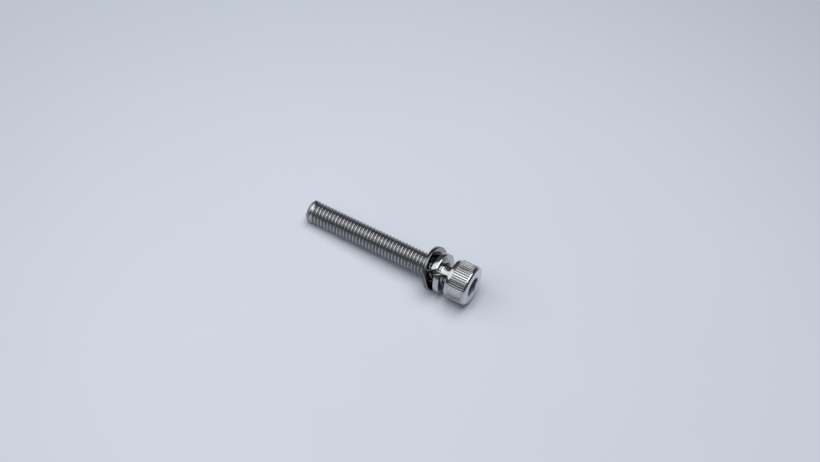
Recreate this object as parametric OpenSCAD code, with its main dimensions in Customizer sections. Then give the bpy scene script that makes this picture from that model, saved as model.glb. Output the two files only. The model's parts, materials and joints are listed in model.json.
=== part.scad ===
// Hex socket cap screw with two captive washers, lying at rest.
// Three loose pieces: the screw, a split spring washer and a flat washer.
// Both bores are smaller than the thread and larger than the neck, so the
// washers hang loose on the neck and can't come off.
// The screw rests on its thread at the tip and, through the neck, on the flat
// washer, which leans and stands on its rim.

/* [Screw] */
// Length from the tip to the underside of the head
under_head = 35; // [16:1:60]
// Outside diameter of the thread
thread_d = 4.9; // [4.84:0.02:5.2]
// Distance from one crest of the thread to the next
thread_pitch = 0.8; // [0.7:0.05:1]
// Depth of the thread's groove
thread_depth = 0.44; // [0.36:0.01:0.48]
// Diameter of the flat end of the tip
tip_d = 3.9; // [3:0.1:4.4]
// Length of the lead-in cone at the tip
tip_len = 0.45; // [0.2:0.05:1]
// Diameter of the slim neck between thread and head
neck_d = 4.15; // [3.7:0.05:4.3]
// Length of the cone between thread and neck
runout_len = 0.2; // [0.1:0.05:0.6]

/* [Head] */
// Outside diameter of the head over the knurl
head_d = 8.72; // [8:0.02:9.1]
// Height of the head
head_h = 5; // [4:0.1:7]
// Rounding between the knurl and the end face
head_round = 0.62; // [0.2:0.02:1]
// How far the smooth collar at the bearing face lies inside the knurl
collar_inset = 0.235; // [0.18:0.005:0.5]
// Length of the smooth collar
collar_len = 0.93; // [0.5:0.01:1.5]
// Number of knurl teeth
knurl_teeth = 52; // [30:1:70]
// Depth of the knurl
knurl_depth = 0.14; // [0.05:0.01:0.25]

/* [Socket] */
// Hexagon size across the flats
socket_af = 4; // [3:0.1:4.6]
// Depth of the hexagon's walls
socket_depth = 2.5; // [1.5:0.1:3.2]
// Width of the lead-in chamfer at the mouth
socket_chamfer = 0.12; // [0.05:0.01:0.3]
// Turn of the hexagon about the screw's axis
socket_turn = 30; // [0:1:60]

/* [Flat washer] */
// Outside diameter of the flat washer
flat_od = 9.7; // [9.2:0.1:12]
// Bore of the flat washer, between the neck and the thread
flat_bore = 4.8; // [4.6:0.01:4.86]
// Thickness of the flat washer
flat_t = 0.8; // [0.5:0.05:1]
// Broken edge around the flat washer's rim
flat_edge = 0.08; // [0.02:0.01:0.15]
// Lean of the flat washer, as a share of the most that its bore allows on the neck
flat_lean_share = 0.84; // [0.6:0.02:1]

/* [Spring washer] */
// Outside diameter of the spring washer
spring_od = 8.55; // [7.6:0.05:8.7]
// How much wider than the neck the spring washer's bore is
spring_clearance = 0.55; // [0.45:0.01:0.67]
// Thickness of the spring washer's wire
spring_t = 1.3; // [0.9:0.05:1.4]
// How far one end of the wire stands off the other along the axis
spring_rise = 1.2; // [0.6:0.05:1.3]
// Lean of the spring washer against the screw's axis
spring_lean = 7; // [3:0.5:8]
// Where the split starts, around the axis from the top
split_at = -44; // [-90:1:90]
// Width of the split in degrees of arc
split_gap = 8; // [4:1:20]
// Slant of the cut across the wire in degrees of arc
split_skew = 8; // [0:1:15]

/* [Fits] */
// Free travel of the washers along the neck, toward the head
washer_travel = 0.91; // [0.1:0.01:3]
// Gap left where a leaning washer meets the neck, the thread or its neighbour
play = 0.04; // [0.03:0.01:0.06]

/* [Hidden] */
$fn = 96;

steel = [0.76, 0.77, 0.79];
steel_dark = [0.5, 0.51, 0.54];
steel_light = [0.68, 0.69, 0.71];

thread_r = thread_d / 2;
neck_r = neck_d / 2;
neck_reach = neck_r + play;
screw_len = under_head + head_h;

// The thread's ridge: flats on its crest and in its root, and one flank between them.
// It winds on from one pitch and a quarter before the tip, where it is trimmed.
crest_flat = thread_pitch / 8;
root_flat = thread_pitch / 4;
flank = (thread_pitch - crest_flat - root_flat) / 2;
thread_from = -1.25 * thread_pitch;
// The first whole crest on the underside, where the thread meets the floor
crest_below = thread_from + flank;
touch_x = crest_below + thread_pitch * ceil((tip_len - crest_below) / thread_pitch);

// The flat washer leans on the neck until both sides of its bore would meet it
flat_reach = norm([flat_bore, flat_t]);
flat_lean_most = acos((neck_d + 2 * play) / flat_reach) - atan(flat_t / flat_bore);
flat_lean = flat_lean_share * flat_lean_most;
flat_half = flat_t / 2;
flat_r = flat_od / 2;
// The neck lies in the low side of its bore, so that it sits a little above the axis
flat_up = flat_bore / 2 * cos(flat_lean) - flat_half * sin(flat_lean) - neck_reach;
// It stands against the end of the thread or the cone behind it. Its middle and its
// head side, on the axis, count from the end of the thread.
runout_share = (thread_r - neck_reach) / (thread_r - neck_r);
flat_on_thread = (thread_r - flat_up) * tan(flat_lean);
flat_on_cone = (neck_reach - flat_up) * tan(flat_lean) + runout_len * runout_share;
flat_middle = max(flat_on_thread, flat_on_cone) + play + flat_half / cos(flat_lean);
flat_face = flat_middle + flat_half / cos(flat_lean) + flat_up * tan(flat_lean);

// The spring washer's wire, a helix that rises toward the head as it goes round
wire_steps = 60;
wire_span = 360 - split_gap;
spring_r = spring_od / 2;
spring_bore_r = (neck_d + spring_clearance) / 2;

// A point turned by a lean about the Y axis, its head side going up
function leaned(p, lean) = [
    p[0] * cos(lean) - p[2] * sin(lean),
    p[1],
    p[0] * sin(lean) + p[2] * cos(lean)
];
// A point of the wire: arc from the split, radius, height above the wire's tip side
function wire_point(arc, r, up) = leaned([
    spring_rise * arc / wire_span + up,
    r * sin(split_at + arc),
    r * cos(split_at + arc)
], spring_lean);
// The wire's four corners at one step: tip side inner and outer, head side outer and inner
function wire_corners(step) = let (arc = wire_span * step / wire_steps) [
    wire_point(arc, spring_bore_r, 0),
    wire_point(arc, spring_r, 0),
    wire_point(arc + split_skew, spring_r, spring_t),
    wire_point(arc + split_skew, spring_bore_r, spring_t)
];
wire = [for (step = [0:wire_steps], p = wire_corners(step)) p];

// The spring washer hangs with the top of its bore on the neck
spring_drop = min([for (p = wire) if (p[2] > 0 && abs(p[1]) < neck_reach)
    p[2] - sqrt(pow(neck_reach, 2) - pow(p[1], 2))]);
// It stands against the flat washer's head side, which leans away toward the top
spring_start = play + max([for (p = wire) flat_face - (p[2] - spring_drop) * tan(flat_lean) - p[0]]);

// The neck holds both washers as they lean, and their free travel
neck_len = spring_start + max([for (p = wire) p[0]]) + washer_travel + play;
thread_end = under_head - neck_len;
flat_at = thread_end + flat_middle;
spring_at = thread_end + spring_start;

// The screw's axis tips up toward the head until something besides the thread meets
// the floor. Each low point gives the tilt at which it would be the one to touch.
flat_low = leaned([flat_edge - flat_half, 0, -flat_r], flat_lean) + [flat_at, 0, flat_up];
head_low = [under_head + collar_len, 0, -head_d / 2];
spring_low = [for (p = wire) p + [spring_at, 0, -spring_drop]];
function tilt_at(p) = atan(-(p[2] + thread_r) / (p[0] - touch_x));
rest_tilt = max([for (p = concat([flat_low, head_low], spring_low)) tilt_at(p)]);
rest_lift = thread_r * cos(rest_tilt) - touch_x * sin(rest_tilt);

// The origin is on the floor under the middle of the screw's length
back_end = -tip_d / 2 * sin(rest_tilt);
front_end = (screw_len - head_round) * cos(rest_tilt)
    + (head_d / 2 - head_round) * sin(rest_tilt) + head_round;
middle_x = (back_end + front_end) / 2;

// Lays a piece down: made along +X from the tip, it comes to rest on the floor
module laid_down() {
    translate([-middle_x, 0, rest_lift])
        rotate([0, -rest_tilt, 0])
            children();
}

// Stands a piece that was made along +Z along +X
module along_x() {
    rotate([0, 90, 0])
        children();
}

// The thread as one closed skin, wound up along the Z axis: four corners a step, with
// the root's flat reaching over to the turn above, and a fan across each end
module thread_skin() {
    turn_steps = 20;
    length = thread_end + thread_pitch - thread_from;
    steps = turn_steps * ceil(length / thread_pitch);
    root_r = thread_r - thread_depth;
    ridge = [
        [root_r, 0],
        [thread_r, flank],
        [thread_r, flank + crest_flat],
        [root_r, thread_pitch - root_flat]
    ];
    corners = [for (step = [0:steps], p = ridge)
        let (turn = step / turn_steps, up = thread_from + turn * thread_pitch)
        [p[0] * cos(360 * turn), p[0] * sin(360 * turn), up + p[1]]];
    low_hub = [0, 0, thread_from + thread_pitch / 2];
    high_hub = [0, 0, thread_from + (steps / turn_steps + 0.25) * thread_pitch];
    hub = len(corners);
    sides = [for (step = [0:steps - 1], c = [0:2])
        let (a = 4 * step + c)
        each [[a, a + 1, a + 4], [a + 4, a + 1, a + 5]]];
    roots = [for (step = [0:steps - turn_steps - 1])
        let (a = 4 * step + 3, b = 4 * (step + turn_steps))
        each [[a, b, a + 4], [a + 4, b, b + 4]]];
    low_edge = concat([for (step = [0:turn_steps]) 4 * step], [3, 2, 1, 0]);
    high_edge = concat(
        [for (step = [steps:-1:steps - turn_steps]) 4 * step + 3],
        [for (c = [0:3]) 4 * steps + c]
    );
    polyhedron(
        points = concat(corners, [low_hub, high_hub]),
        faces = concat(
            sides,
            roots,
            [for (k = [1:len(low_edge) - 1]) [hub, low_edge[k - 1], low_edge[k]]],
            [for (k = [1:len(high_edge) - 1]) [hub + 1, high_edge[k - 1], high_edge[k]]]
        )
    );
}

// Half section that trims the thread: flat tip, lead-in cone, run-out cone
module thread_limit() {
    over = 0.3;
    tip_slope = tip_len / (thread_r - tip_d / 2);
    runout_slope = runout_len / (thread_r - neck_r);
    polygon([
        [0, 0],
        [tip_d / 2, 0],
        [thread_r + over, tip_len + over * tip_slope],
        [thread_r + over, thread_end - over * runout_slope],
        [neck_r, thread_end + runout_len],
        [0, thread_end + runout_len]
    ]);
}

// Thread and neck, from the tip into the head
module shank() {
    head_overlap = 0.5;
    intersection() {
        thread_skin();
        rotate_extrude()
            thread_limit();
    }
    translate([0, 0, thread_end + runout_len])
        cylinder(h = neck_len - runout_len + head_overlap, r = neck_r);
}

// Half section of the head: smooth collar, full diameter, rounded end
module head_section() {
    head_r = head_d / 2;
    collar_r = head_r - collar_inset;
    edge = 0.12;
    polygon([
        [0, 0],
        [collar_r - edge, 0],
        [collar_r, edge],
        [collar_r, collar_len - collar_inset / 2],
        [head_r, collar_len],
        [head_r, head_h - head_round],
        [head_r - head_round, head_h - head_round],
        [head_r - head_round, head_h],
        [0, head_h]
    ]);
    translate([head_r - head_round, head_h - head_round])
        circle(r = head_round, $fn = 36);
}

// Ring with teeth on the inside, which cuts the knurl's grooves into the head and
// trims each crest to a small flat
module knurl_cutter() {
    crest_trim = 0.03;
    crest_r = head_d / 2 + crest_trim;
    root_r = head_d / 2 - knurl_depth;
    tooth = 360 / knurl_teeth;
    translate([0, 0, collar_len])
        linear_extrude(height = head_h - head_round - collar_len)
            difference() {
                circle(r = head_d / 2 + 1);
                polygon([for (k = [0:knurl_teeth - 1], half = [0, 1])
                    let (r = half == 0 ? crest_r : root_r, a = (k + half / 2) * tooth)
                    [r * cos(a), r * sin(a)]]);
            }
}

// Hexagon socket with a drilled point at its floor and a chamfer at its mouth
module socket_cutter() {
    corner_d = socket_af / cos(30);
    drill_inset = 0.05;
    drill_r = socket_af / 2 - drill_inset;
    blunt_r = 0.2;
    drill_h = (drill_r - blunt_r) * tan(30);
    mouth_r = corner_d / 2 + socket_chamfer;
    chamfer_h = 0.5;
    flare = chamfer_h / tan(30);
    rotate([0, 0, socket_turn])
        translate([0, 0, -socket_depth])
            linear_extrude(height = socket_depth + 1)
                circle(d = corner_d, $fn = 6);
    translate([0, 0, -socket_depth - drill_h])
        cylinder(h = drill_h, r1 = blunt_r, r2 = drill_r);
    translate([0, 0, -chamfer_h])
        cylinder(h = 2 * chamfer_h, r1 = mouth_r - flare, r2 = mouth_r + flare);
}

module screw() {
    color(steel)
        laid_down()
            along_x() {
                difference() {
                    union() {
                        shank();
                        translate([0, 0, under_head])
                            rotate_extrude()
                                head_section();
                    }
                    translate([0, 0, under_head])
                        knurl_cutter();
                    translate([0, 0, screw_len])
                        socket_cutter();
                }
            }
}

module spring_washer() {
    last = 4 * wire_steps;
    sides = [for (step = [0:wire_steps - 1], c = [0:3])
        let (a = 4 * step + c, b = 4 * step + (c + 1) % 4)
        each [[a, a + 4, b], [b, a + 4, b + 4]]];
    color(steel_light)
        laid_down()
            translate([spring_at, 0, -spring_drop])
                polyhedron(
                    points = wire,
                    faces = concat(
                        [[0, 1, 2], [0, 2, 3]],
                        sides,
                        [[last, last + 2, last + 1], [last, last + 3, last + 2]]
                    )
                );
}

module flat_washer() {
    bore_r = flat_bore / 2;
    color(steel_dark)
        laid_down()
            translate([flat_at, 0, flat_up])
                rotate([0, -flat_lean, 0])
                    along_x()
                        rotate_extrude()
                            polygon([
                                [bore_r, -flat_half],
                                [flat_r - flat_edge, -flat_half],
                                [flat_r, -flat_half + flat_edge],
                                [flat_r, flat_half - flat_edge],
                                [flat_r - flat_edge, flat_half],
                                [bore_r, flat_half]
                            ]);
}

screw();
spring_washer();
flat_washer();
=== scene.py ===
import json
import math

import bmesh
import bpy
from mathutils import Matrix, Vector


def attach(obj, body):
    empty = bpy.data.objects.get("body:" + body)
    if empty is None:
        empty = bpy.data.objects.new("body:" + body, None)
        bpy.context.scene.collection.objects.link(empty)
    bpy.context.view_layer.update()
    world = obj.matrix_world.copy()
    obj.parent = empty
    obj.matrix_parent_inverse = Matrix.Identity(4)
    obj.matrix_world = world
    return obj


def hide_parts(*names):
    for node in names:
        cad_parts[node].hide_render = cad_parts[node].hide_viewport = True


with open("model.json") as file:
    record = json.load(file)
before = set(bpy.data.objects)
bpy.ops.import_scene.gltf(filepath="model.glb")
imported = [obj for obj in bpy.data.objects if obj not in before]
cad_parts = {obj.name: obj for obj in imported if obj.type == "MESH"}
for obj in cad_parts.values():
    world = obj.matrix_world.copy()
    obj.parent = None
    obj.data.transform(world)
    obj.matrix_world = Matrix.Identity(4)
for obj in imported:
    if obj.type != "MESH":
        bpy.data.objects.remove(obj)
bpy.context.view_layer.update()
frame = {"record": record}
print("frame loaded")

# the screw's axis comes from the frame's hexagon socket
screwLength = 0.040  # metres from the tip to the end of the head
socketMount = next(m for m in frame["record"]["mounts"] if m["name"] == "hex_socket")
screwAxis = Vector(socketMount["axis"]).normalized()
tipPoint = Vector(socketMount["pos_m"]) - screwAxis * screwLength
restTilt = math.atan2(screwAxis.z, screwAxis.x)

# each piece is drawn in mm along +X from the tip, then laid down as the screw lies
layDown = Matrix.Translation(tipPoint) @ Matrix.Rotation(-restTilt, 4, "Y") @ Matrix.Scale(0.001, 4)
mergeWithin = 0.0015  # mm
slack = 0.01  # mm, to tell on which side of a limit a point lies
bumpDepth = 0.00001  # metres


# mesh helpers

def polyline(bm, points, closed=False):
    verts = [bm.verts.new(p) for p in points]
    edges = [bm.edges.new(pair) for pair in zip(verts, verts[1:])]
    if closed:
        edges.append(bm.edges.new((verts[-1], verts[0])))
    return verts + edges


def spinRound(bm, geom, steps, climb=0.0, turn=2 * math.pi, merge=True):
    bmesh.ops.spin(bm, geom=geom, cent=(0, 0, 0), axis=(1, 0, 0), dvec=(climb, 0, 0),
                   angle=turn, steps=steps, use_merge=merge)


def softenEdges(bm, edges, width, segments):
    bmesh.ops.bevel(bm, geom=edges, offset=width, offset_type="OFFSET", segments=segments,
                    profile=0.5, affect="EDGES", material=-1)


def moveRadius(vert, radius):
    scale = radius / vert.co.yz.length
    vert.co.y *= scale
    vert.co.z *= scale


def finishMesh(bm, name, matrix, sharpAngle):
    bmesh.ops.remove_doubles(bm, verts=bm.verts[:], dist=mergeWithin)
    bmesh.ops.transform(bm, matrix=matrix, verts=bm.verts[:])
    bmesh.ops.recalc_face_normals(bm, faces=bm.faces[:])
    for face in bm.faces:
        face.smooth = True
    for edge in bm.edges:
        edge.smooth = edge.calc_face_angle(0.0) < math.radians(sharpAngle)
    mesh = bpy.data.meshes.new(name)
    bm.to_mesh(mesh)
    bm.free()
    piece = bpy.data.objects.new(name, mesh)
    bpy.context.scene.collection.objects.link(piece)
    return piece


# material helpers

def addNode(tree, kind, inputs=(), **settings):
    made = tree.nodes.new(kind)
    for name, value in settings.items():
        setattr(made, name, value)
    for name, value in dict(inputs).items():
        if isinstance(value, bpy.types.NodeSocket):
            tree.links.new(value, made.inputs[name])
        else:
            made.inputs[name].default_value = value
    return made


def mixColour(tree, factor, low, high):
    mix = addNode(tree, "ShaderNodeMix", data_type="RGBA")
    for socket, value in ((0, factor), (6, low), (7, high)):
        if isinstance(value, bpy.types.NodeSocket):
            tree.links.new(value, mix.inputs[socket])
        else:
            mix.inputs[socket].default_value = (*value, 1)
    return mix.outputs[2]


def mixValue(tree, factor, low, high):
    return addNode(tree, "ShaderNodeMapRange", {"Value": factor, "To Min": low, "To Max": high}).outputs[0]


def rampValue(tree, value, start, end, **settings):
    limits = {"Value": value, "From Min": start, "From Max": end}
    return addNode(tree, "ShaderNodeMapRange", limits, **settings).outputs[0]


def multiplyAdd(tree, value, factor, added):
    inputs = {0: value, 1: factor, 2: added}
    return addNode(tree, "ShaderNodeMath", inputs, operation="MULTIPLY_ADD").outputs[0]


def attribute(tree, name):
    return addNode(tree, "ShaderNodeAttribute", attribute_name=name).outputs["Fac"]


def noise(tree, place, scale, detail):
    inputs = {"Vector": place, "Scale": scale, "Detail": detail}
    return addNode(tree, "ShaderNodeTexNoise", inputs).outputs[0]


def lineNoise(tree, distance, scale, detail):
    inputs = {"W": distance, "Scale": scale, "Detail": detail}
    return addNode(tree, "ShaderNodeTexNoise", inputs, noise_dimensions="1D").outputs[0]


def newMaterial(name):
    mat = bpy.data.materials.new(name)
    mat.use_nodes = True
    return mat, mat.node_tree, mat.node_tree.nodes["Principled BSDF"]


# the place in the screw's own frame, the distance from its axis and from its tip
def screwPlace(tree):
    place = addNode(tree, "ShaderNodeTexCoord").outputs["Object"]
    endBrightened = {"Vector": place, "Location": tipPoint, "Rotation": (0, -restTilt, 0)}
    along = addNode(tree, "ShaderNodeMapping", endBrightened, vector_type="TEXTURE").outputs[0]
    across = addNode(tree, "ShaderNodeVectorMath", {0: along, 1: (0, 1, 1)}, operation="MULTIPLY").outputs[0]
    radius = addNode(tree, "ShaderNodeVectorMath", {0: across}, operation="LENGTH").outputs["Value"]
    length = addNode(tree, "ShaderNodeSeparateXYZ", {0: along}).outputs["X"]
    return along, radius, length


def addBump(tree, shader, height, strength):
    inputs = {"Height": height, "Strength": strength, "Distance": bumpDepth}
    tree.links.new(addNode(tree, "ShaderNodeBump", inputs).outputs[0], shader.inputs["Normal"])


# sizes in mm from the axis and the tip, textures per metre
screw = {
    "pitch": 0.8,
    "threadRadius": 2.45,
    "rootRadius": 2.01,
    "threadPhase": 0.5,  # where the first crest stands on top
    "facesPerTurn": 72,
    "tipRadius": 1.95,
    "tipLength": 0.45,
    "threadFade": (0.8, 1.9),  # the groove starts shallow at the tip
    "runout": 0.2,
    "neckRadius": 2.075,
    "neckLength": 5.3766,
    "neckFillet": 0.2,
    "neckLoops": (3.4, 1.6),  # extra rings, measured from the head
    "underHead": 35.0,
    "headHeight": 5.0,
    "headRadius": 4.36,
    "headRound": 0.62,
    "collarRadius": 4.125,
    "collarLength": 0.93,
    "bearingEdge": 0.12,
    "faceLoop": 3.1,  # radius of an extra ring on the head's flat faces
    "knurlLoops": (0.0, 1.1, 2.3),  # rings that carry the grooves, from their start
    "knurlFadeOver": (0.22, 0.06),  # from the rounded end
    "knurlTeeth": 52,
    "stepsPerTooth": 8,
    "knurlDepth": 0.14,
    "knurlGroove": 0.43,  # share of a tooth that its groove takes
    "knurlFade": 0.35,  # depth left at the rounded end
    "socketFlats": 4.0,
    "socketDepth": 2.5,
    "socketChamfer": 0.12,
    "socketTurn": 30,
    "socketLoop": 0.5,  # depth of an extra ring on the walls
    "drillInset": 0.05,
    "drillBlunt": 0.2,
    "sharpAngle": 30,
    # how much painted shade goes on the thread's roots, on one of its flanks, on the knurl and on the tip's
    # cone
    "shadedFlankTurn": 0.17,  # turns from the thread's root to the flank that gets the most painted shade
    "rootPaintedShade": 0.4,
    "flankPaintedShade": 0.7,
    "knurlPaintedShade": 0.28,
    "tipPaintedShade": 0.75,
    "bright": (0.55, 0.55, 0.56),
    "dull": (0.46, 0.46, 0.47),
    "paintedShade": (0.24, 0.24, 0.25),  # painted shade on the thread's flanks and roots, in the knurl grooves and on the tip's cone
    "endFace": (0.70, 0.68, 0.73),
    "endFaceDepth": (0.0001, 0.00002),  # metres below the end where its brighter colour starts
    "socket": (0.52, 0.50, 0.55),
    "roughness": (0.09, 0.18),
    "valleyRoughness": 0.32,
    "socketRoughness": 0.3,
    "mottle": 900,
    "grain": 9000,
    "turningMarks": 14000,
    "bump": 0.12,
}


# half of the thread's form as shares of the pitch, mirrored to make the whole
def threadForm(s):
    crest, root = s["threadRadius"], s["rootRadius"]
    half = [(0.0, crest), (0.06, crest - 0.002), (0.09, crest - 0.012), (0.115, crest - 0.04)]
    half += [(0.25, (crest + root) / 2 + 0.01), (0.41, root + 0.035), (0.46, root + 0.007), (0.5, root)]
    whole = half + [(1 - share, radius) for share, radius in half[-2::-1]]
    return [(share * s["pitch"], radius) for share, radius in whole]


# fades the groove at the tip and runs it out into the neck
def threadRadiusAt(s, x, r, threadEnd, last):
    crest, root, neck, tip = s["threadRadius"], s["rootRadius"], s["neckRadius"], s["tipRadius"]
    fadeFrom, fadeTo = s["threadFade"]
    share = min(1.0, max(0.0, (x - fadeFrom) / (fadeTo - fadeFrom)))
    share = share * share * (3 - 2 * share)
    radius = crest - (crest - r) * share
    radius = min(radius, tip + (crest - tip) * x / s["tipLength"])
    if x > threadEnd - s["pitch"]:
        rise = min(1.0, (x - threadEnd + s["pitch"]) / s["pitch"])
        radius = max(radius, root + (neck - root) * rise)
        radius = min(radius, neck + max(0.0, (crest - neck) * (last - x) / s["runout"]))
    return radius


# one turn is spun, copied along the screw and cut square at both ends
def buildThread(bm, s):
    pitch, perTurn = s["pitch"], s["facesPerTurn"]
    threadEnd = s["underHead"] - s["neckLength"]
    last = threadEnd + s["runout"]
    start = s["threadPhase"] - 2 * pitch
    turns = math.ceil((last - start) / pitch) + 1
    form = polyline(bm, [(start + x, 0, r) for x, r in threadForm(s)])
    spinRound(bm, form, perTurn, climb=pitch / perTurn, merge=False)
    oneTurn = bm.verts[:] + bm.edges[:] + bm.faces[:]
    for turn in range(1, turns):
        copy = bmesh.ops.duplicate(bm, geom=oneTurn)["geom"]
        copied = [v for v in copy if isinstance(v, bmesh.types.BMVert)]
        bmesh.ops.translate(bm, vec=(pitch * turn, 0, 0), verts=copied)
    bmesh.ops.remove_doubles(bm, verts=bm.verts[:], dist=2 * mergeWithin)
    for x, side in ((0.0, -1), (last, 1)):
        bmesh.ops.bisect_plane(bm, geom=bm.verts[:] + bm.edges[:] + bm.faces[:], dist=1e-5,
                               plane_co=(x, 0, 0), plane_no=(side, 0, 0), clear_outer=True)
    for v in bm.verts:
        moveRadius(v, threadRadiusAt(s, v.co.x, v.co.yz.length, threadEnd, last))
    rim = [e for e in bm.edges if e.is_boundary and max(abs(v.co.x) for v in e.verts) < mergeWithin]
    bmesh.ops.edgeloop_fill(bm, edges=rim)


def socketCorner(s):
    return s["socketFlats"] / 2 / math.cos(math.radians(30))


# rings of the neck, head and socket: place, radius and what the ring becomes
def headRings(s):
    bearing, end = s["underHead"], s["underHead"] + s["headHeight"]
    neck, fillet, edge = s["neckRadius"], s["neckFillet"], s["bearingEdge"]
    collar, head, rounding = s["collarRadius"], s["headRadius"], s["headRound"]
    knurlStart, knurlEnd = bearing + s["collarLength"], end - rounding
    step = head - collar
    corner = socketCorner(s)
    mouth = corner + s["socketChamfer"]
    floor = end - s["socketDepth"]
    drill, blunt = s["socketFlats"] / 2 - s["drillInset"], s["drillBlunt"]
    drillEnd = floor - (drill - blunt) * math.tan(math.radians(30))
    rings = [(bearing - s["neckLength"] + s["runout"], neck, "")]
    rings += [(bearing - loop, neck, "") for loop in s["neckLoops"]]
    for k in range(5):
        turn = math.radians(90 * k / 4)
        place = bearing - fillet + fillet * math.sin(turn)
        rings.append((place, neck + fillet - fillet * math.cos(turn), ""))
    rings += [(bearing, s["faceLoop"], ""), (bearing, collar - edge, "")]
    rings += [(bearing + edge * 0.35, collar - edge * 0.3, ""), (bearing + edge, collar, "")]
    rings += [(knurlStart - step / 2, collar, ""), (knurlStart - step / 4, collar + step / 2, "")]
    fadeFrom, fadeTo = s["knurlFadeOver"]
    rings += [(knurlStart + loop, head, "knurl") for loop in s["knurlLoops"]]
    rings += [(knurlEnd - fadeFrom, head, "knurl"), (knurlEnd - fadeTo, head, "fade"), (knurlEnd, head, "")]
    for k in range(1, 8):
        turn = math.radians(90 * k / 7)
        place = knurlEnd + rounding * math.sin(turn)
        rings.append((place, head - rounding + rounding * math.cos(turn), ""))
    rings += [(end, s["faceLoop"], ""), (end, mouth, ""), (end, mouth, "mouth")]
    rings += [(end - s["socketLoop"], corner, "wall"), (floor, corner, "wall")]
    rings += [(floor, drill, ""), (drillEnd, blunt, ""), (drillEnd, 0.0, "")]
    return rings


def knurlRadius(s, angle, depth):
    phase = (angle / (2 * math.pi) * s["knurlTeeth"]) % 1.0
    groove = max(0.0, 1 - abs(2 * phase - 1) / s["knurlGroove"])
    return s["headRadius"] - s["knurlDepth"] * groove * depth


def hexRadius(s, angle):
    side = math.radians(60)
    off = (angle - math.radians(s["socketTurn"])) % side - side / 2
    return s["socketFlats"] / 2 / math.cos(off)


# the rings are spun round, then the knurl and the hexagon are pressed into theirs
def buildHead(bm, s):
    end = s["underHead"] + s["headHeight"]
    mouth = socketCorner(s) + s["socketChamfer"]
    rings = headRings(s)
    ringNumber = bm.verts.layers.int.new("ring")
    profile = polyline(bm, [(x, 0, r) for x, r, kind in rings])
    for i, v in enumerate(profile[:len(rings)]):
        v[ringNumber] = i
    spinRound(bm, profile, s["knurlTeeth"] * s["stepsPerTooth"])
    for v in bm.verts:
        kind = rings[v[ringNumber]][2]
        angle = math.atan2(v.co.y, v.co.z)
        if kind in ("knurl", "fade"):
            moveRadius(v, knurlRadius(s, angle, s["knurlFade"] if kind == "fade" else 1.0))
        elif kind:
            radius = hexRadius(s, angle)
            if kind == "mouth":
                v.co.x = end - (mouth - radius) * math.tan(math.radians(30))
            moveRadius(v, radius)


# painted shade: 0 where none is painted, 1 deep in the grooves, with some on one thread flank, the knurl
# crests and the tip's cone
def paintedShadeAt(s, point):
    x, r = point.x, point.yz.length
    end = s["underHead"] + s["headHeight"]
    if x < s["threadFade"][0]:
        return s["tipPaintedShade"] if r > s["tipRadius"] - slack else 0.0
    if x < s["underHead"] - s["neckLength"]:
        turns = (x - s["threadPhase"]) / s["pitch"] + math.atan2(point.y, point.z) / (2 * math.pi)
        flank = 0.5 - 0.5 * math.cos(2 * math.pi * (turns + s["shadedFlankTurn"]))
        depth = (s["threadRadius"] - r) / (s["threadRadius"] - s["rootRadius"])
        return max(0.0, min(1.0, s["rootPaintedShade"] * depth + s["flankPaintedShade"] * flank))
    knurlStart = s["underHead"] + s["collarLength"]
    if knurlStart - slack < x < end - s["headRound"] + slack and r > s["collarRadius"]:
        groove = max(0.0, min(1.0, (s["headRadius"] - r) / s["knurlDepth"]))
        return s["knurlPaintedShade"] + (1 - s["knurlPaintedShade"]) * groove
    return 0.0


def makeScrew():
    s = screw
    bm = bmesh.new()
    buildThread(bm, s)
    headBm = bmesh.new()
    buildHead(headBm, s)
    headMesh = bpy.data.meshes.new("headTemp")
    headBm.to_mesh(headMesh)
    headBm.free()
    bm.from_mesh(headMesh)
    bpy.data.meshes.remove(headMesh)
    joint = s["underHead"] - s["neckLength"] + s["runout"]
    rims = [e for e in bm.edges if e.is_boundary and all(abs(v.co.x - joint) < mergeWithin for v in e.verts)]
    bmesh.ops.bridge_loops(bm, edges=rims)
    paintedShade = bm.verts.layers.float.new("paintedShade")
    socket = bm.verts.layers.float.new("socket")
    for v in bm.verts:
        # each vertex carries its share of painted shade
        v[paintedShade] = paintedShadeAt(s, v.co)
        inHead = v.co.x > s["underHead"] + s["collarLength"]
        v[socket] = 1.0 if inHead and v.co.yz.length < socketCorner(s) + slack else 0.0
    return finishMesh(bm, "screwBody", layDown, s["sharpAngle"])


def screwSteel():
    s = screw
    mat, tree, shader = newMaterial("screwSteel")
    along, radius, length = screwPlace(tree)
    paintedShade = attribute(tree, "paintedShade")
    socket = attribute(tree, "socket")
    grain = noise(tree, along, s["grain"], 2)
    clean = mixColour(tree, noise(tree, along, s["mottle"], 3), s["dull"], s["bright"])
    # the end face gets a brighter, lavender-tinted colour
    faceStart, faceFull = s["endFaceDepth"]
    endShare = rampValue(tree, length, screwLength - faceStart, screwLength - faceFull)
    endBrightened = mixColour(tree, endShare, clean, s["endFace"])
    punched = mixColour(tree, socket, endBrightened, s["socket"])
    shader.inputs["Metallic"].default_value = 1.0
    # painted shade darkens the grooves, one thread flank, the knurl and the tip's cone; the same mask raises
    # the roughness
    tree.links.new(mixColour(tree, paintedShade, punched, s["paintedShade"]), shader.inputs["Base Color"])
    rough = multiplyAdd(tree, paintedShade, s["valleyRoughness"], mixValue(tree, grain, *s["roughness"]))
    rough = multiplyAdd(tree, socket, s["socketRoughness"], rough)
    tree.links.new(rough, shader.inputs["Roughness"])
    travel = multiplyAdd(tree, length, 1.0, radius)  # so that the marks run round every face
    marks = multiplyAdd(tree, lineNoise(tree, travel, s["turningMarks"], 3), 1.0, grain)
    addBump(tree, shader, marks, s["bump"])
    return mat


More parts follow.
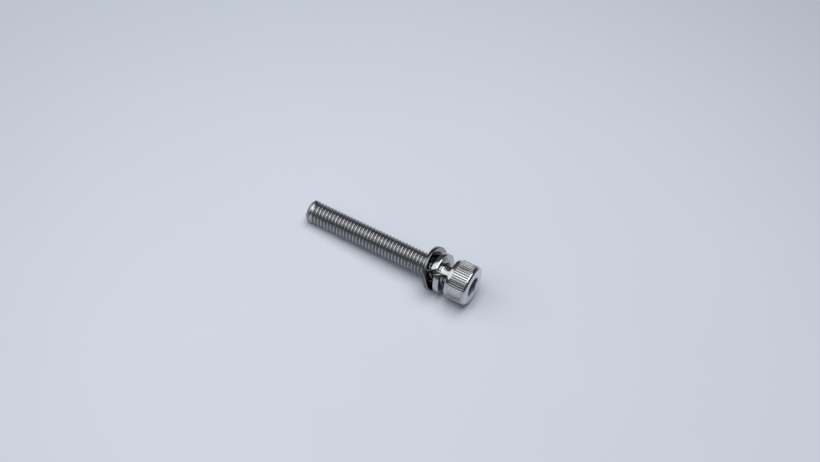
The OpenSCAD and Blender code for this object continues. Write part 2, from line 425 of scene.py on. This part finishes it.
flatRing = {
    "outerRadius": 4.85,
    "boreRadius": 2.4,
    "thickness": 0.8,
    "edge": 0.07,
    "rollOver": 0.2,  # the punch's soft edge
    "steps": 160,
    "place": 30.8847,  # from the tip, on the axis
    "raise": 0.0643,  # above the axis, with the neck in the low side of the bore
    "lean": 16.939,  # degrees
    "sharpAngle": 35,
    "bright": (0.39, 0.39, 0.41),
    "dull": (0.30, 0.30, 0.32),
    "rim": (0.11, 0.11, 0.12),  # painted shade on the punched edge, which reflects its own shadow
    "rimPaintedShade": (0.75, 0.25),  # how much painted shade, and how much more of it below
    "roughness": (0.08, 0.2),
    "rimRoughness": 0.2,
    "mottle": 700,
    "grain": 7000,
    "bump": 0.15,
}


def isRing(edge):
    a, b = (v.co for v in edge.verts)
    return abs(a.x - b.x) < 1e-4 and abs(a.yz.length - b.yz.length) < 1e-3


def makeFlatWasher():
    s = flatRing
    half, bore, outer = s["thickness"] / 2, s["boreRadius"], s["outerRadius"]
    bm = bmesh.new()
    corners = [(-half, 0, bore), (-half, 0, outer), (half, 0, outer), (half, 0, bore)]
    spinRound(bm, polyline(bm, corners, closed=True), s["steps"])
    bmesh.ops.recalc_face_normals(bm, faces=bm.faces[:])
    rings = [e for e in bm.edges if isRing(e)]
    rolled = [e for e in rings if e.verts[0].co.x > 0 and e.verts[0].co.yz.length > outer - slack]
    softenEdges(bm, rolled, s["rollOver"], 5)
    softenEdges(bm, [e for e in rings if e.is_valid], s["edge"], 3)
    # the rim carries painted shade, darker towards the bottom
    rim = bm.verts.layers.float.new("rim")
    dark, darker = s["rimPaintedShade"]
    for v in bm.verts:
        onRim = v.co.yz.length > outer - s["edge"] + slack
        v[rim] = dark - darker * v.co.z / outer if onRim else 0.0
    lean = Matrix.Translation((s["place"], 0, s["raise"])) @ Matrix.Rotation(-math.radians(s["lean"]), 4, "Y")
    return finishMesh(bm, "flatWasher", layDown @ lean, s["sharpAngle"])


def flatSteel():
    s = flatRing
    mat, tree, shader = newMaterial("washerSteel")
    along = screwPlace(tree)[0]
    rim = attribute(tree, "rim")
    grain = noise(tree, along, s["grain"], 3)
    face = mixColour(tree, noise(tree, along, s["mottle"], 4), s["dull"], s["bright"])
    shader.inputs["Metallic"].default_value = 1.0
    # painted shade darkens the rim, most at the bottom; the same mask raises its roughness
    tree.links.new(mixColour(tree, rim, face, s["rim"]), shader.inputs["Base Color"])
    rough = multiplyAdd(tree, rim, s["rimRoughness"], mixValue(tree, grain, *s["roughness"]))
    tree.links.new(rough, shader.inputs["Roughness"])
    addBump(tree, shader, grain, s["bump"])
    return mat


springRing = {
    "outerRadius": 4.275,
    "boreRadius": 2.35,
    "thickness": 1.3,
    "rise": 1.2,  # over the whole turn
    "edge": 0.07,
    "splitAt": -44.0,  # degrees
    "splitGap": 8.0,
    "splitSkew": 8.0,
    "steps": 132,
    "place": 31.4448,  # from the tip, on the axis
    "drop": 0.2349,  # below the axis
    "lean": 7.0,
    "sharpAngle": 35,
    "bright": (0.56, 0.56, 0.57),
    "dull": (0.44, 0.44, 0.45),
    "roughness": (0.1, 0.22),
    "mottle": 1100,
    "drawnLines": 16000,
    "bump": 0.2,
}


# the wire's section is drawn at the split and wound round to the other end
def makeSpringWasher():
    s = springRing
    bm = bmesh.new()

    def wirePoint(arc, radius, up):
        angle = math.radians(s["splitAt"] + arc)
        return (up, radius * math.sin(angle), radius * math.cos(angle))

    corners = [wirePoint(0, s["boreRadius"], 0), wirePoint(0, s["outerRadius"], 0),
               wirePoint(s["splitSkew"], s["outerRadius"], s["thickness"]),
               wirePoint(s["splitSkew"], s["boreRadius"], s["thickness"])]
    spinRound(bm, polyline(bm, corners, closed=True), s["steps"], climb=s["rise"] / s["steps"],
              turn=-math.radians(360 - s["splitGap"]), merge=False)
    bmesh.ops.holes_fill(bm, edges=[e for e in bm.edges if e.is_boundary], sides=4)
    bmesh.ops.recalc_face_normals(bm, faces=bm.faces[:])
    softenEdges(bm, [e for e in bm.edges if e.calc_face_angle(0.0) > math.radians(40)], s["edge"], 2)
    lean = Matrix.Translation((s["place"], 0, -s["drop"])) @ Matrix.Rotation(-math.radians(s["lean"]), 4, "Y")
    return finishMesh(bm, "springWasher", layDown @ lean, s["sharpAngle"])


def springSteel():
    s = springRing
    mat, tree, shader = newMaterial("springSteel")
    along, radius, length = screwPlace(tree)
    mottle = noise(tree, along, s["mottle"], 4)
    shader.inputs["Metallic"].default_value = 1.0
    tree.links.new(mixColour(tree, mottle, s["dull"], s["bright"]), shader.inputs["Base Color"])
    tree.links.new(mixValue(tree, mottle, *s["roughness"]), shader.inputs["Roughness"])
    addBump(tree, shader, lineNoise(tree, radius, s["drawnLines"], 3), s["bump"])
    return mat


# lengths in metres from here on
table = {
    "halfSize": 1.5,
    "colour": (0.77, 0.81, 0.89),
    "shade": (0.75, 0.79, 0.87),
    "edge": (0.57, 0.61, 0.67),  # painted shade far from the middle, where the light falls off
    "middle": (0.04, -0.02, 0),
    "spread": (0.06, 0.20),  # from the middle to where the edge colour is full
    "mottle": 35,
    "roughness": 0.7,
    "specular": 0.2,
}


def makeTable():
    s = table
    bm = bmesh.new()
    bmesh.ops.create_grid(bm, x_segments=1, y_segments=1, size=s["halfSize"])
    mesh = bpy.data.meshes.new("tableTop")
    bm.to_mesh(mesh)
    bm.free()
    top = bpy.data.objects.new("tableTop", mesh)
    bpy.context.scene.collection.objects.link(top)
    mat, tree, shader = newMaterial("palePaper")
    place = addNode(tree, "ShaderNodeTexCoord").outputs["Object"]
    # painted falloff of the light: the paper darkens away from the middle
    away = addNode(tree, "ShaderNodeVectorMath", {0: place, 1: s["middle"]}, operation="DISTANCE")
    paintedFalloff = rampValue(tree, away.outputs["Value"], *s["spread"], interpolation_type="SMOOTHSTEP")
    paper = mixColour(tree, noise(tree, place, s["mottle"], 2), s["shade"], s["colour"])
    tree.links.new(mixColour(tree, paintedFalloff, paper, s["edge"]), shader.inputs["Base Color"])
    shader.inputs["Roughness"].default_value = s["roughness"]
    shader.inputs["Specular IOR Level"].default_value = s["specular"]
    mesh.materials.append(mat)
    return top


# level is how bright a lamp's own face is, and each lamp faces the middle of the table
lamps = {
    "overhead": {"size": (0.28, 0.55), "level": 3.6, "place": (0, 0.008, 0.5)},
    "side": {"size": (0.56, 0.5), "level": 1.3, "place": (-0.312, -0.228, 0.445)},
}
lampColour = (0.98, 0.99, 1.0)
roomColour = (0.075, 0.079, 0.088)


def makeLamp(name, size, level, place):
    data = bpy.data.lights.new(name, "AREA")
    data.shape = "RECTANGLE"
    data.size, data.size_y = size
    data.energy = level * math.pi * size[0] * size[1]
    data.color = lampColour
    lamp = bpy.data.objects.new(name, data)
    lamp.location = place
    lamp.rotation_euler = (-Vector(place)).to_track_quat("-Z", "Y").to_euler()
    bpy.context.scene.collection.objects.link(lamp)


def makeRoom():
    room = bpy.data.worlds.new("room")
    room.use_nodes = True
    room.node_tree.nodes["Background"].inputs["Color"].default_value = (*roomColour, 1)
    bpy.context.scene.world = room


view = {
    "place": (0.11236, -0.29357, 0.38550),
    "aim": (0.00054, 0.00762, 0.00238),
    "roll": -11.98,  # degrees
    "lens": 101.7,
    "sensor": 36.0,
    "nearest": 0.01,
}


def makeCamera():
    data = bpy.data.cameras.new("camera")
    data.lens = view["lens"]
    data.sensor_width = view["sensor"]
    data.clip_start = view["nearest"]
    camera = bpy.data.objects.new("camera", data)
    place = Vector(view["place"])
    look = (Vector(view["aim"]) - place).to_track_quat("-Z", "Y").to_matrix().to_4x4()
    turn = Matrix.Rotation(math.radians(-view["roll"]), 4, "Z")
    camera.matrix_world = Matrix.Translation(place) @ look @ turn
    bpy.context.scene.collection.objects.link(camera)
    bpy.context.scene.camera = camera


screwBody = makeScrew()
screwBody.data.materials.append(screwSteel())
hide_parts("screw")
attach(screwBody, "screw")
print("screw made,", len(screwBody.data.polygons), "faces")

flatWasher = makeFlatWasher()
flatWasher.data.materials.append(flatSteel())
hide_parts("flat_washer")
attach(flatWasher, "washers")
print("flat washer made,", len(flatWasher.data.polygons), "faces")

springWasher = makeSpringWasher()
springWasher.data.materials.append(springSteel())
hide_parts("spring_washer")
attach(springWasher, "washers")
print("spring washer made,", len(springWasher.data.polygons), "faces")

floor = makeTable()
print("table made")

for name, lamp in lamps.items():
    makeLamp(name, **lamp)
makeRoom()
makeCamera()
bpy.context.scene.view_settings.view_transform = "Standard"
print("lamps, room and camera placed")
